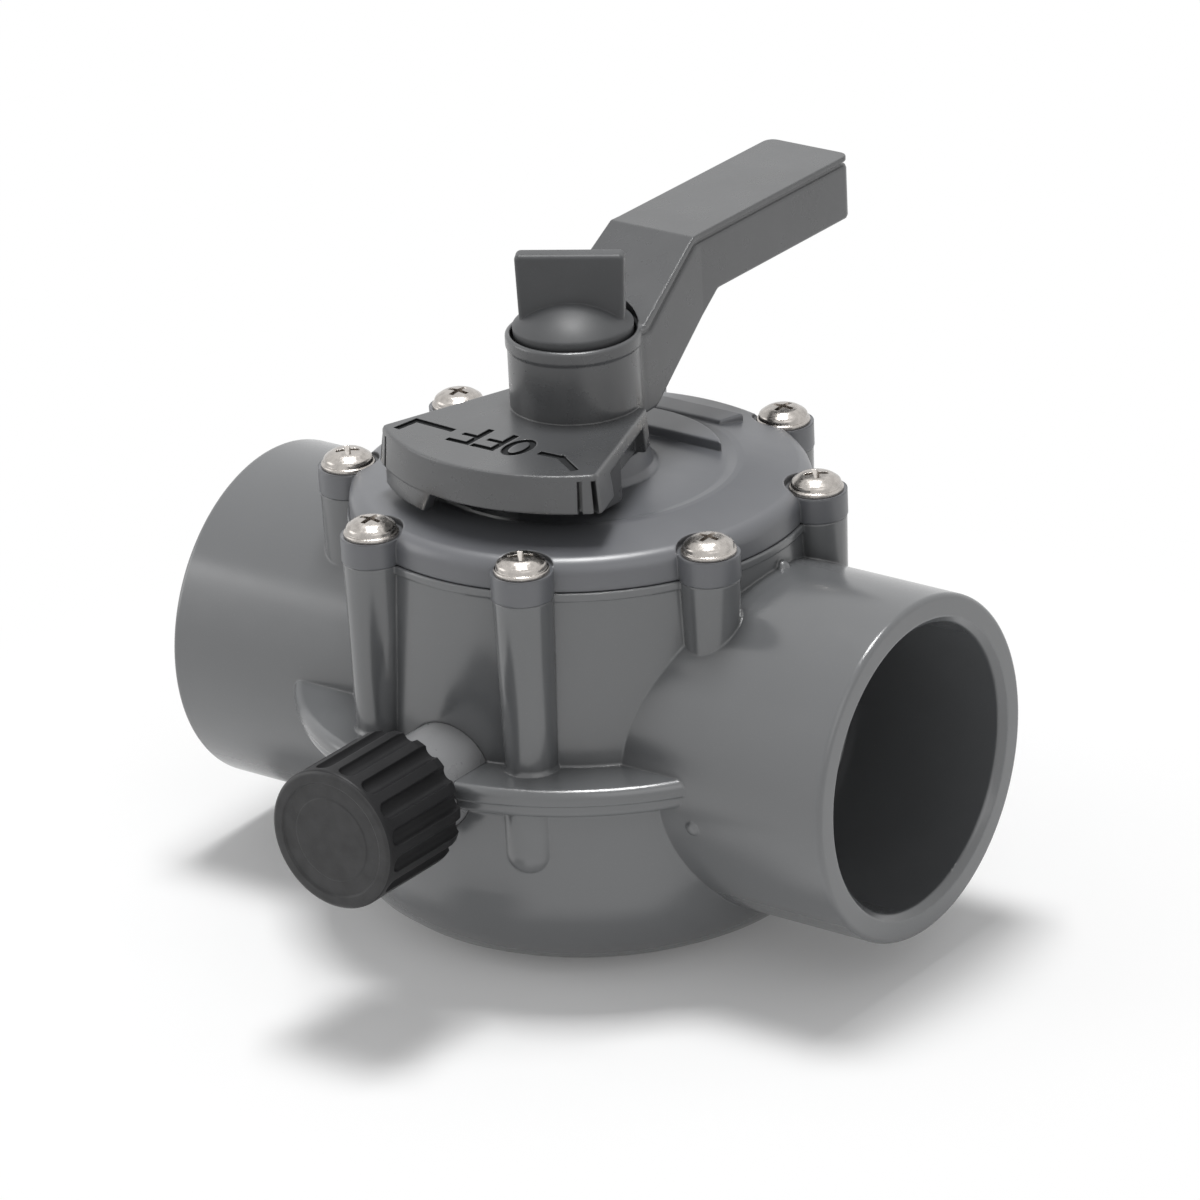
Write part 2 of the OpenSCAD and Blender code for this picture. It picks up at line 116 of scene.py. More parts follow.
def turned(name, profile, line="Z", steps=128, closed=False):
    # a profile of (radius, height) spun round the stem, the port line or the outlet's line
    put = {"Z": lambda r, h: (r, 0, h),
           "X": lambda r, h: (h, 0, portHeight + r),
           "Y": lambda r, h: (0, -h, portHeight + r)}[line]
    axis = {"Z": (0, 0, 1), "X": (1, 0, 0), "Y": (0, 1, 0)}[line]
    centre = (0, 0, 0) if line == "Z" else (0, 0, portHeight * mm)
    points = [put(*p[:2]) for p in profile]
    if closed:
        points.append(points[0])
    piece = drawLine(name, points)
    bpy.ops.mesh.select_all(action="SELECT")
    bpy.ops.mesh.remove_doubles(threshold=1e-7)
    bpy.ops.mesh.spin(steps=steps, angle=fullTurn, center=centre, axis=axis, use_auto_merge=True)
    return closeUp(piece)


def slab(name, outline, start, depth, facing="Z"):
    # an outline filled and pushed out, flat in XY or in YZ
    put = {"Z": lambda a, b: (a, b, start), "X": lambda a, b: (start, a, b)}[facing]
    push = Vector((0, 0, depth) if facing == "Z" else (depth, 0, 0)) * mm
    points = [put(*p[:2]) for p in outline]
    piece = drawLine(name, points + points[:1])
    bpy.ops.mesh.select_all(action="SELECT")
    bpy.ops.mesh.remove_doubles(threshold=1e-7)
    bpy.ops.mesh.edge_face_add()
    bpy.ops.mesh.extrude_region_move(TRANSFORM_OT_translate={"value": push})
    return closeUp(piece)


def modify(piece, kind, **settings):
    pick(piece)
    bpy.ops.object.modifier_add(type=kind)
    modifier = piece.modifiers[-1]
    for key, value in settings.items():
        setattr(modifier, key, value)
    bpy.ops.object.modifier_apply(modifier=modifier.name)
    return piece


def soften(piece, width, angle=40, segments=2):
    # round the sharp edges, width in mm
    return modify(piece, "BEVEL", width=width * mm, segments=segments, limit_method="ANGLE",
                  angle_limit=math.radians(angle), use_clamp_overlap=True, harden_normals=False)


def combine(base, *tools, operation="UNION"):
    for tool in tools:
        modify(base, "BOOLEAN", object=tool, operation=operation, solver="EXACT")
        bpy.data.objects.remove(tool, do_unlink=True)
    return closeUp(base, 0.004)


def gather(pieces):
    # make one mesh of separate shapes
    pick(pieces[0])
    for piece in pieces[1:]:
        piece.select_set(True)
    bpy.ops.object.join()
    return pieces[0]


def copyRound(piece, angles):
    # copies with their own meshes, turned about the stem, degrees
    copies = []
    for angle in angles:
        copy = piece.copy()
        copy.data = piece.data.copy()
        bpy.context.collection.objects.link(copy)
        pick(copy)
        copy.rotation_euler = (0, 0, math.radians(angle))
        bpy.ops.object.transform_apply(location=True, rotation=True, scale=True)
        copies.append(copy)
    return copies


def shiftOut(piece, reach):
    # moved out along the port line, reach in mm
    pick(piece)
    piece.location.x = reach * mm
    bpy.ops.object.transform_apply(location=True, rotation=True, scale=True)
    return piece


def finishPiece(piece, material, body, replaced, smoothAngle=35):
    pick(piece)
    bpy.ops.object.shade_smooth_by_angle(angle=math.radians(smoothAngle))
    piece.data.materials.clear()
    piece.data.materials.append(material)
    for face in piece.data.polygons:
        face.material_index = 0
    modify(piece, "WEIGHTED_NORMAL", keep_sharp=True, weight=80)     # flat faces stay flat
    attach(piece, body)
    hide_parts(*replaced)
    print("piece ready:", piece.name, len(piece.data.polygons), "faces")


# materials

def newMaterial(name):
    material = bpy.data.materials.new(name)
    material.use_nodes = True
    tree = material.node_tree
    shader = tree.nodes["Principled BSDF"]
    place = tree.nodes.new("ShaderNodeTexCoord")
    return material, tree, shader, place.outputs["Object"]


def noise(tree, place, scale, detail):
    node = tree.nodes.new("ShaderNodeTexNoise")
    node.inputs["Scale"].default_value = scale
    node.inputs["Detail"].default_value = detail
    tree.links.new(place, node.inputs["Vector"])
    return node.outputs["Fac"]


def spread(tree, value, fromLow, fromHigh, low, high):
    node = tree.nodes.new("ShaderNodeMapRange")
    node.inputs["From Min"].default_value = fromLow
    node.inputs["From Max"].default_value = fromHigh
    node.inputs["To Min"].default_value = low
    node.inputs["To Max"].default_value = high
    tree.links.new(value, node.inputs["Value"])
    return node.outputs["Result"]


def blendColours(tree, factor, first, second):
    node = tree.nodes.new("ShaderNodeMix")
    node.data_type = "RGBA"
    tree.links.new(factor, node.inputs[0])
    for socket, colour in ((node.inputs[6], first), (node.inputs[7], second)):
        if isinstance(colour, tuple):
            socket.default_value = (*colour, 1)
        else:
            tree.links.new(colour, socket)
    return node.outputs[2]


def sharpness(tree, radius):
    # how far a rounded normal leans from the true one: near 1 on edges, radius in mm
    bevel = tree.nodes.new("ShaderNodeBevel")
    bevel.samples = 6
    bevel.inputs["Radius"].default_value = radius * mm
    flat = tree.nodes.new("ShaderNodeNewGeometry")
    dot = tree.nodes.new("ShaderNodeVectorMath")
    dot.operation = "DOT_PRODUCT"
    tree.links.new(bevel.outputs["Normal"], dot.inputs[0])
    tree.links.new(flat.outputs["Normal"], dot.inputs[1])
    return bevel.outputs["Normal"], spread(tree, dot.outputs["Value"], 0.995, 0.85, 0.0, 1.0)


def bumpUp(tree, height, distance, normal):
    node = tree.nodes.new("ShaderNodeBump")
    node.inputs["Distance"].default_value = distance * mm
    tree.links.new(height, node.inputs["Height"])
    tree.links.new(normal, node.inputs["Normal"])
    return node.outputs["Normal"]


def paintedCornerShade(tree, reach, depth):
    # painted shade: the base colour is darkened wherever ambient occlusion finds nearby surfaces, in corners
    # and under things, reach in mm
    shade = tree.nodes.new("ShaderNodeAmbientOcclusion")
    shade.samples = 6
    shade.inputs["Distance"].default_value = reach * mm
    return spread(tree, shade.outputs["AO"], 0.1, 0.62, depth, 0)


# the last three settings paint shade into corners: its reach in mm, its strength and its darkest tone
surface = {"speckScale": 2600, "wearScale": 420, "roughScale": 160, "peelScale": 210, "grainScale": 2400,
           "paintedShadeReach": 8, "paintedShadeDepth": 0.8, "paintedShadeTone": 0.2}


def mouldedPlastic(name, look, s):
    # satin plastic: cloudy colour, fine specks, worn edges, faint orange peel, and painted shade in its corners
    material, tree, shader, place = newMaterial(name)
    base = look["colour"]
    pale = tuple(min(1, c * look["palest"]) for c in base)
    deep = tuple(c * look["deepest"] for c in base)
    clouds = spread(tree, noise(tree, place, look["cloudScale"], 4), 0.35, 0.65, 0, 1)
    cloudy = blendColours(tree, clouds, deep, pale)
    specks = spread(tree, noise(tree, place, s["speckScale"], 2), 0.66, 0.74, 0, look["specks"])
    speckled = blendColours(tree, specks, cloudy, tuple(min(1, c * 1.7 + 0.02) for c in base))
    normal, edge = sharpness(tree, look["edgeRadius"])
    worn = tree.nodes.new("ShaderNodeMath")
    worn.operation = "MULTIPLY"
    tree.links.new(edge, worn.inputs[0])
    wear = spread(tree, noise(tree, place, s["wearScale"], 3), 0.3, 0.7, 0, look["edgeWear"])
    tree.links.new(wear, worn.inputs[1])
    coloured = blendColours(tree, worn.outputs[0], speckled, tuple(min(1, c * 1.9 + 0.03) for c in base))
    # painted shade: corners and hollows darkened through ambient occlusion
    shade = paintedCornerShade(tree, s["paintedShadeReach"], s["paintedShadeDepth"])
    shaded = blendColours(tree, shade, coloured, tuple(c * s["paintedShadeTone"] for c in base))
    tree.links.new(shaded, shader.inputs["Base Color"])
    low, high = look["rough"] - 0.02, look["rough"] + 0.03
    uneven = spread(tree, noise(tree, place, s["roughScale"], 5), 0.3, 0.7, low, high)
    tree.links.new(uneven, shader.inputs["Roughness"])
    peel = bumpUp(tree, noise(tree, place, s["peelScale"], 2), look["peel"], normal)
    grain = bumpUp(tree, noise(tree, place, s["grainScale"], 2), look["grain"], peel)
    tree.links.new(grain, shader.inputs["Normal"])
    shader.inputs["Specular IOR Level"].default_value = look["gloss"]
    return material


def metalFinish(name, look):
    # bright metal with a fine grain and small stains
    material, tree, shader, place = newMaterial(name)
    shader.inputs["Metallic"].default_value = 1.0
    base = look["colour"]
    stains = spread(tree, noise(tree, place, 700, 5), 0.42, 0.68, 0, look["stain"])
    stained = blendColours(tree, stains, base, tuple(c * 0.55 for c in base))
    tree.links.new(stained, shader.inputs["Base Color"])
    low, high = look["rough"] - 0.06, look["rough"] + 0.1
    uneven = spread(tree, noise(tree, place, 1500, 4), 0.3, 0.7, low, high)
    tree.links.new(uneven, shader.inputs["Roughness"])
    normal, edge = sharpness(tree, 0.15)
    tree.links.new(bumpUp(tree, noise(tree, place, 3000, 2), 0.006, normal), shader.inputs["Normal"])
    return material


plasticLooks = {
    "bodyGrey": {
        "colour": (0.130, 0.134, 0.139), "palest": 1.03, "deepest": 0.97, "cloudScale": 22, "specks": 0.12,
        "edgeRadius": 0.7, "edgeWear": 0.35, "rough": 0.19, "peel": 0.008, "grain": 0.002, "gloss": 1.0},
    "coverGrey": {
        "colour": (0.124, 0.128, 0.139), "palest": 1.04, "deepest": 0.96, "cloudScale": 26, "specks": 0.12,
        "edgeRadius": 0.6, "edgeWear": 0.25, "rough": 0.35, "peel": 0.01, "grain": 0.002, "gloss": 0.9},
    "nippleGrey": {
        "colour": (0.25, 0.252, 0.258), "palest": 1.06, "deepest": 0.94, "cloudScale": 60, "specks": 0.2,
        "edgeRadius": 0.3, "edgeWear": 0.3, "rough": 0.28, "peel": 0.01, "grain": 0.004, "gloss": 0.8},
    "leverGrey": {
        "colour": (0.064, 0.066, 0.069), "palest": 1.09, "deepest": 0.91, "cloudScale": 45, "specks": 0.3,
        "edgeRadius": 0.5, "edgeWear": 0.25, "rough": 0.28, "peel": 0.02, "grain": 0.012, "gloss": 0.9},
    # painted shade: a dark material for the floors and walls of the lettering grooves
    "paintedGrooveShade": {
        "colour": (0.014, 0.015, 0.016), "palest": 1.2, "deepest": 0.8, "cloudScale": 200, "specks": 0.2,
        "edgeRadius": 0.1, "edgeWear": 0.1, "rough": 0.6, "peel": 0.01, "grain": 0.01, "gloss": 0.2},
    "knobGrey": {
        "colour": (0.058, 0.060, 0.063), "palest": 1.08, "deepest": 0.92, "cloudScale": 60, "specks": 0.25,
        "edgeRadius": 0.5, "edgeWear": 0.25, "rough": 0.48, "peel": 0.012, "grain": 0.006, "gloss": 0.55},
    "capBlack": {
        "colour": (0.015, 0.015, 0.016), "palest": 1.2, "deepest": 0.85, "cloudScale": 60, "specks": 0.2,
        "edgeRadius": 0.35, "edgeWear": 0.3, "rough": 0.44, "peel": 0.03, "grain": 0.014, "gloss": 0.22},
    "capFace": {
        "colour": (0.030, 0.030, 0.031), "palest": 1.25, "deepest": 0.8, "cloudScale": 240, "specks": 0.4,
        "edgeRadius": 0.35, "edgeWear": 0.3, "rough": 0.44, "peel": 0.03, "grain": 0.014, "gloss": 0.4},
    "gateDark": {
        "colour": (0.025, 0.026, 0.028), "palest": 1.15, "deepest": 0.85, "cloudScale": 50, "specks": 0.2,
        "edgeRadius": 0.5, "edgeWear": 0.3, "rough": 0.45, "peel": 0.02, "grain": 0.008, "gloss": 0.4},
    "bearingWhite": {
        "colour": (0.62, 0.60, 0.53), "palest": 1.05, "deepest": 0.92, "cloudScale": 90, "specks": 0.1,
        "edgeRadius": 0.2, "edgeWear": 0.1, "rough": 0.48, "peel": 0.01, "grain": 0.006, "gloss": 0.5},
    "sealBlack": {
        "colour": (0.018, 0.018, 0.018), "palest": 1.3, "deepest": 0.8, "cloudScale": 120, "specks": 0.3,
        "edgeRadius": 0.2, "edgeWear": 0.2, "rough": 0.62, "peel": 0.015, "grain": 0.012, "gloss": 0.4},
}
plastics = {name: mouldedPlastic(name, look, surface) for name, look in plasticLooks.items()}
metals = {
    "screwSteel": metalFinish("screwSteel", {"colour": (0.50, 0.47, 0.44), "stain": 0.5, "rough": 0.22}),
    "studSteel": metalFinish("studSteel", {"colour": (0.70, 0.70, 0.71), "stain": 0.3, "rough": 0.3}),
    "insertBrass": metalFinish("insertBrass", {"colour": (0.72, 0.52, 0.24), "stain": 0.3, "rough": 0.3}),
}
print("materials ready")


# housing with both sockets, posts and shelf

housing = {
    "bowlRadius": 56.5, "bowlCorner": 23, "shelfRadius": 62, "shelfTop": 48.5, "shelfThickness": 6.4,
    "wallFoot": 50, "wallTop": 48.1, "jointHeight": 86.1, "lipHeight": 1.8,
    "chamberRadius": 43.5, "floor": 7, "socketFace": 83.2, "socketRadius": 36.5,
    "socketBore": 30.25, "socketDepth": 38, "passage": 26.2,
    "lipOut": 0.5, "stepIn": 0.7, "stepLow": 3.6, "stepHigh": 3.3,
    "screwCircle": 49.8, "postFoot": 5.4, "postHead": 6.2, "postFlare": 0.5, "postLow": 45,
    "bumpRadius": 5.7, "bumpOut": 3.2, "bumpLength": 15.7, "bumpPosts": (1, 2, 5, 6),
    "pivotHole": 6.55, "pivotLow": 4, "pivotBoss": 10, "pivotBossTop": 10,
    "mouthWiden": 2.6, "mouthDepth": 1.4,
    "outletBore": 6.5, "outletStart": 20, "outletHole": 10.53, "outletSeat": 44.5, "outletStop": 90,
    "nubs": [((51.3, -35.0, 38.3), 1.9), ((48.6, 2.4, 80.6), 1.7)],
}
screwAngles = [22.5 + 45 * k for k in range(8)]


def makeHousing(h):
    shelfLow = h["shelfTop"] - h["shelfThickness"]
    lipRadius = h["wallTop"] + h["lipOut"]
    stepRadius = h["shelfRadius"] - h["stepIn"]
    lipLow = h["jointHeight"] - h["lipHeight"]
    shell = turned("housingShell", roundOff([
        (0, 0, 0), (h["bowlRadius"], 0, h["bowlCorner"]), (h["bowlRadius"], shelfLow, 2.4),
        (stepRadius, shelfLow, 1.6), (stepRadius, h["shelfTop"] - h["stepLow"], 0.5),
        (h["shelfRadius"], h["shelfTop"] - h["stepHigh"], 0.4), (h["shelfRadius"], h["shelfTop"], 1.9),
        (h["wallFoot"], h["shelfTop"], 0.4), (h["wallTop"], lipLow, 0), (lipRadius, lipLow, 0.2),
        (lipRadius, h["jointHeight"], 0.4), (0, h["jointHeight"], 0)], steps=8), steps=180)
    face = h["socketFace"]
    ports = turned("ports", roundOff([
        (0, -face, 0), (h["socketRadius"], -face, 1.1),
        (h["socketRadius"], face, 1.1), (0, face, 0)], steps=5), "X", 160)
    flare = h["postFoot"] + h["postFlare"]
    post = turned("post", roundOff([
        (0, h["postLow"], 0), (flare, h["postLow"], 0), (flare, h["shelfTop"], 0),
        (h["postFoot"] + 0.1, h["shelfTop"] + 0.9, 1.2), (h["postHead"], h["jointHeight"], 0.2),
        (0, h["jointHeight"], 0)], steps=5), steps=48)
    shiftOut(post, h["screwCircle"])
    posts = gather(copyRound(post, screwAngles))
    bpy.data.objects.remove(post, do_unlink=True)
    bumpLow = shelfLow - h["bumpLength"]
    bump = turned("bump", roundOff([
        (0, bumpLow, 0), (h["bumpRadius"], bumpLow, 5.6),
        (h["bumpRadius"], shelfLow + 2, 0), (0, shelfLow + 2, 0)], steps=8), steps=40)
    shiftOut(bump, h["screwCircle"] + h["bumpOut"])
    bumps = gather(copyRound(bump, [screwAngles[k] for k in h["bumpPosts"]]))
    bpy.data.objects.remove(bump, do_unlink=True)
    nubs = []
    for spot, size in h["nubs"]:               # small marks left by the mould
        clearSelection()
        bpy.ops.mesh.primitive_uv_sphere_add(segments=24, ring_count=12, radius=size * mm,
                                             location=Vector(spot) * mm)
        bpy.ops.object.transform_apply(location=True, rotation=True, scale=True)
        nubs.append(bpy.context.object)
    combine(shell, ports, posts, bumps, *nubs)
    chamber = turned("chamber", roundOff([
        (0, h["pivotLow"], 0), (h["pivotHole"], h["pivotLow"], 0), (h["pivotHole"], h["pivotBossTop"], 0.3),
        (h["pivotBoss"], h["pivotBossTop"], 0.6), (h["pivotBoss"], h["floor"], 0.8),
        (h["chamberRadius"], h["floor"], 7), (h["chamberRadius"], 90, 0), (0, 90, 0)], steps=6), steps=144)
    stop = face - h["socketDepth"]
    mouth = h["socketBore"] + h["mouthWiden"]
    bore = turned("bore", roundOff([
        (0, -face - 1, 0), (mouth, -face - 1, 0), (h["socketBore"], -face + h["mouthDepth"], 1.2),
        (h["socketBore"], -stop, 0.3), (h["passage"], -stop, 0.5), (h["passage"], stop, 0.5),
        (h["socketBore"], stop, 0.3), (h["socketBore"], face - h["mouthDepth"], 1.2),
        (mouth, face + 1, 0), (0, face + 1, 0)], steps=4), "X", 144)
    outlet = turned("outletSeat", [
        (0, h["outletStart"]), (h["outletBore"], h["outletStart"]), (h["outletBore"], h["outletSeat"]),
        (h["outletHole"], h["outletSeat"]), (h["outletHole"], h["outletStop"]), (0, h["outletStop"])], "Y", 64)
    combine(shell, chamber, bore, outlet, operation="DIFFERENCE")
    return shell


shell = makeHousing(housing)
finishPiece(shell, plastics["bodyGrey"], "valve_body", ["housing"])


# cover with ears, stop pad, rim lug and boss

cover = {
    "low": 86.1, "radius": 48, "rimTop": 92.5, "rimRound": 3.5, "dish": 32.5,
    "bossRadius": 14, "bossTop": 99.5, "bossLowRadius": 13.5,
    "bore": 8.05, "bushingSeat": 9.55, "bushingTop": 85,
    "plugRadius": 43.4, "plugLow": 80, "plugInner": 39.4,
    "grooveRadius": 41.2, "grooveLow": 4.2, "grooveHigh": 1.6,
    "earRadius": 6.4, "earTop": 91.5, "earRoot": 45, "seatRadius": 6.6, "holeRadius": 2.3,
    "padFace": 20.7, "padRadius": 29.7, "padTop": 96.2,
    "lugFront": 32, "lugBack": 38, "lugTop": 95.3, "lugFrontHalf": 13, "lugBackHalf": 15,
}


def makeCover(c):
    low, top = c["low"], c["rimTop"]
    bush, inner, plug, groove = c["bushingSeat"], c["bossLowRadius"], c["plugRadius"], c["grooveRadius"]
    grooveLow, grooveHigh = low - c["grooveLow"], low - c["grooveHigh"]
    lid = turned("valveCover", roundOff([
        (bush, c["plugLow"], 0.2), (inner, c["plugLow"], 0.3), (inner, low + 1, 0.5), (inner + 1, low + 2, 0.5),
        (c["plugInner"], low + 0.5, 0.8), (c["plugInner"], c["plugLow"], 0.3), (plug, c["plugLow"], 0.5),
        (plug, grooveLow, 0), (groove, grooveLow, 0), (groove, grooveHigh, 0), (plug, grooveHigh, 0),
        (plug, low, 0), (c["radius"], low, 0.3), (c["radius"], top, c["rimRound"]),
        (c["dish"] + 1.4, top + 2.1, 2.0), (c["dish"], top + 2.1, 1.0), (c["dish"] - 2, top + 1.6, 1.5),
        (c["bossRadius"] + 2.4, top + 1.7, 1.2), (c["bossRadius"] + 1.2, top + 2.8, 0.8),
        (c["bossRadius"], c["bossTop"], 0.7), (c["bore"], c["bossTop"], 0.4),
        (c["bore"], c["bushingTop"], 0), (bush, c["bushingTop"], 0)], steps=6), steps=180, closed=True)
    ear = turned("ear", roundOff([
        (0, low, 0), (c["earRadius"], low, 0.25), (c["earRadius"], c["earTop"] + 3, 0),
        (0, c["earTop"] + 3, 0)], steps=4), steps=48)
    shiftOut(ear, housing["screwCircle"])
    ears = gather(copyRound(ear, screwAngles))
    bpy.data.objects.remove(ear, do_unlink=True)
    middle = turned("earStop", [(0, low - 3), (c["earRoot"], low - 3), (c["earRoot"], 99), (0, 99)], steps=120)
    combine(ears, middle, operation="DIFFERENCE")
    half = math.sqrt(c["padRadius"] ** 2 - c["padFace"] ** 2)
    start = math.atan2(c["padFace"], half)
    arc = [(c["padRadius"] * math.cos(start + (math.pi - 2 * start) * k / 32),
            c["padRadius"] * math.sin(start + (math.pi - 2 * start) * k / 32)) for k in range(33)]
    pad = soften(slab("pad", arc, top - 1, c["padTop"] - top + 1), 0.5, 50)
    front, back = c["lugFrontHalf"], c["lugBackHalf"]
    lugLine = roundOff([(-front, c["lugFront"]), (front, c["lugFront"]),
                        (back, c["lugBack"]), (-back, c["lugBack"])], 0.6, 3)
    lug = soften(slab("lug", lugLine, top - 1, c["lugTop"] - top + 1), 0.5, 50)
    combine(lid, ears, pad, lug)
    wide, narrow = c["seatRadius"], c["holeRadius"]
    seat = turned("screwSeat", roundOff([
        (0, c["earTop"], 0), (wide, c["earTop"], 0.5), (wide, 99, 0), (0, 99, 0)], steps=4), steps=48)
    hole = turned("screwHole", [(0, low - 2), (narrow, low - 2), (narrow, 93), (0, 93)], steps=24)
    shiftOut(seat, housing["screwCircle"])
    shiftOut(hole, housing["screwCircle"])
    seats = gather(copyRound(seat, screwAngles))
    holes = gather(copyRound(hole, screwAngles))
    bpy.data.objects.remove(seat, do_unlink=True)
    bpy.data.objects.remove(hole, do_unlink=True)
    combine(lid, seats, holes, operation="DIFFERENCE")
    return lid


lid = makeCover(cover)
finishPiece(lid, plastics["coverGrey"], "valve_body", ["cover"])


# pan head screws

screw = {"seat": 91.5, "headRadius": 5.7, "headTop": 95.1, "shankRadius": 2.05, "tip": 75.5,
         "slotHalf": 2.9, "slotWidth": 1.25, "slotDepth": 2.3, "slotTurn": 20}


def makeScrews(s):
    seat, top = s["seat"], s["headTop"]
    one = turned("coverScrews", roundOff([
        (0, s["tip"], 0), (s["shankRadius"] - 1, s["tip"], 0.2), (s["shankRadius"], s["tip"] + 1.5, 0.3),
        (s["shankRadius"], seat, 0), (s["headRadius"], seat, 0.15), (s["headRadius"], seat + 0.9, 0.35),
        (s["headRadius"] - 0.5, seat + 1.0, 0.15), (s["headRadius"] - 0.55, seat + 2.0, 1.0),
        (s["headRadius"] - 2.3, top - 0.35, 3.0), (0, top, 0)],
        steps=6), steps=48)
    arms = []
    for turn in (0, 90):
        clearSelection()
        bpy.ops.mesh.primitive_cube_add(size=1, location=(0, 0, (top - s["slotDepth"] / 2 + 0.2) * mm))
        arm = bpy.context.object
        arm.scale = (2 * s["slotHalf"] * mm, s["slotWidth"] * mm, (s["slotDepth"] + 0.4) * mm)
        bpy.ops.object.transform_apply(location=True, rotation=True, scale=True)
        bpy.ops.object.mode_set(mode="EDIT")
        bpy.ops.mesh.select_mode(type="VERT")
        bpy.ops.mesh.select_all(action="DESELECT")
        bpy.ops.object.mode_set(mode="OBJECT")
        for vertex in arm.data.vertices:
            vertex.select = vertex.co.z < (top - 1) * mm
        bpy.ops.object.mode_set(mode="EDIT")
        bpy.ops.transform.resize(value=(0.45, 0.6, 1))   # the recess narrows to its bottom
        bpy.ops.object.mode_set(mode="OBJECT")
        arm.rotation_euler = (0, 0, math.radians(s["slotTurn"] + turn))
        bpy.ops.object.transform_apply(location=True, rotation=True, scale=True)
        arms.append(arm)
    combine(one, *arms, operation="DIFFERENCE")
    soften(one, 0.12, 50, 1)
    shiftOut(one, housing["screwCircle"])
    copies = copyRound(one, screwAngles)
    bpy.data.objects.remove(one, do_unlink=True)
    return gather(copies)


screws = makeScrews(screw)
screws.name = "coverScrews"
finishPiece(screws, metals["screwSteel"], "valve_body", ["cover_screws"], 30)


# lever handle

lever = {
    "skirtLow": 100.1, "skirtThickness": 2.4, "skirtDraft": 1.3 / 27,
    "fanLow": 105, "fanTop": 108.5, "fanRadius": 40.8, "fanHalfWidth": 16.3, "fanAngle": 19.5, "fanCorner": 1.4,
    "fanBack": 4, "sleeveRadius": 11.6,
    "hubRadius": 14.1, "hubTop": 124.3, "collarHeight": 2.6, "recess": 120, "recessRadius": 13,
    "stemRadius": 7.65, "stemHalf": 5.67, "stemTop": 117.1, "studHole": 3.3,
    "neckHalfWidth": 11.8, "neckEnd": 9, "crankLowStart": 12.5, "crankLowEnd": 36.9,
    "crankTopStart": 8.6, "crankTopEnd": 28.5,
    "gripWidth": 21, "gripStart": 31, "gripReach": 86, "gripTop": 136.9, "gripLow": 122.7, "gripCorner": 2.4,
    "tabLow": 95.2, "tabGap": 0.2, "tabThickness": 3, "tabFront": 0.3, "tabBack": 7.7, "padFace": 20.7,
}


def fanOutline(v, inset):
    # the fan's outline with round corners, drawn in by inset
    a = math.radians(v["fanAngle"])
    corner = max(v["fanCorner"], inset + 0.3)
    u = v["fanHalfWidth"] * math.cos(a) - corner
    w = math.sqrt((v["fanRadius"] - corner) ** 2 - u * u)
    cx, cy = u * math.cos(a) + w * math.sin(a), u * math.sin(a) - w * math.cos(a)
    tip = math.atan2(cy, cx)
    r = corner - inset
    turns = [a + (tip - a) * k / 6 for k in range(7)]
    right = [(cx + r * math.cos(t), cy + r * math.sin(t)) for t in turns]
    sweep = -math.pi - 2 * tip
    front = [((v["fanRadius"] - inset) * math.cos(tip + sweep * k / 40),
              (v["fanRadius"] - inset) * math.sin(tip + sweep * k / 40)) for k in range(1, 40)]
    behind = v["fanBack"] - inset
    back = (v["fanHalfWidth"] * math.cos(a) - inset - behind * math.sin(a)) / math.cos(a)
    left = [(-x, y) for x, y in reversed(right)]
    return [(back, behind)] + right + front + left + [(-back, behind)]


def armSide(v, down, up):
    # side view of the crank and grip, as (y, z), with its top lowered and its bottom raised
    return [(0, v["fanLow"] + up), (v["crankLowStart"] + up * 0.3, v["fanLow"] + up),
            (v["crankLowEnd"] + up * 0.6, v["gripLow"] + up), (v["gripReach"], v["gripLow"] + up),
            (v["gripReach"], v["gripTop"] - down), (v["crankTopEnd"] + down * 0.45, v["gripTop"] - down),
            (v["crankTopStart"] + down * 1.2, v["hubTop"] - down), (0, v["hubTop"] - down)]


def armPlan(v, inset):
    half, wide, reach = v["gripWidth"] / 2 - inset, v["neckHalfWidth"] - inset, v["gripReach"] - inset
    neck, grip, corner = v["neckEnd"], v["gripStart"], v["gripCorner"]
    return roundOff([(wide, 0, 0), (wide, neck, 6), (half, grip, 6), (half, reach, corner),
                     (-half, reach, corner), (-half, grip, 6), (-wide, neck, 6), (-wide, 0, 0)], steps=6)


def armLayer(v, name, inset, outline, width=1.0):
    layer = slab(name, armPlan(v, inset), v["skirtLow"], 50)
    side = slab(name + "Side", outline, -30, 60, "X")
    return soften(combine(layer, side, operation="INTERSECT"), width, 30)


def cutStroke(plate, points, width, top, depth):
    # a groove of square section along a line on the plate
    for (x0, y0), (x1, y1) in zip(points, points[1:]):
        run, rise = x1 - x0, y1 - y0
        size = math.hypot(run, rise)
        ux, uy = run / size * width / 2, rise / size * width / 2
        outline = [(x0 - ux + uy, y0 - uy - ux), (x1 + ux + uy, y1 + uy - ux),
                   (x1 + ux - uy, y1 + uy + ux), (x0 - ux - uy, y0 - uy + ux)]
        combine(plate, slab("stroke", outline, top - depth, depth + 1), operation="DIFFERENCE")


def ovalLine(centre, wide, tall):
    turns = [fullTurn * k / 40 for k in range(40)]
    return [(centre[0] + wide * math.cos(t), centre[1] + tall * math.sin(t)) for t in turns]


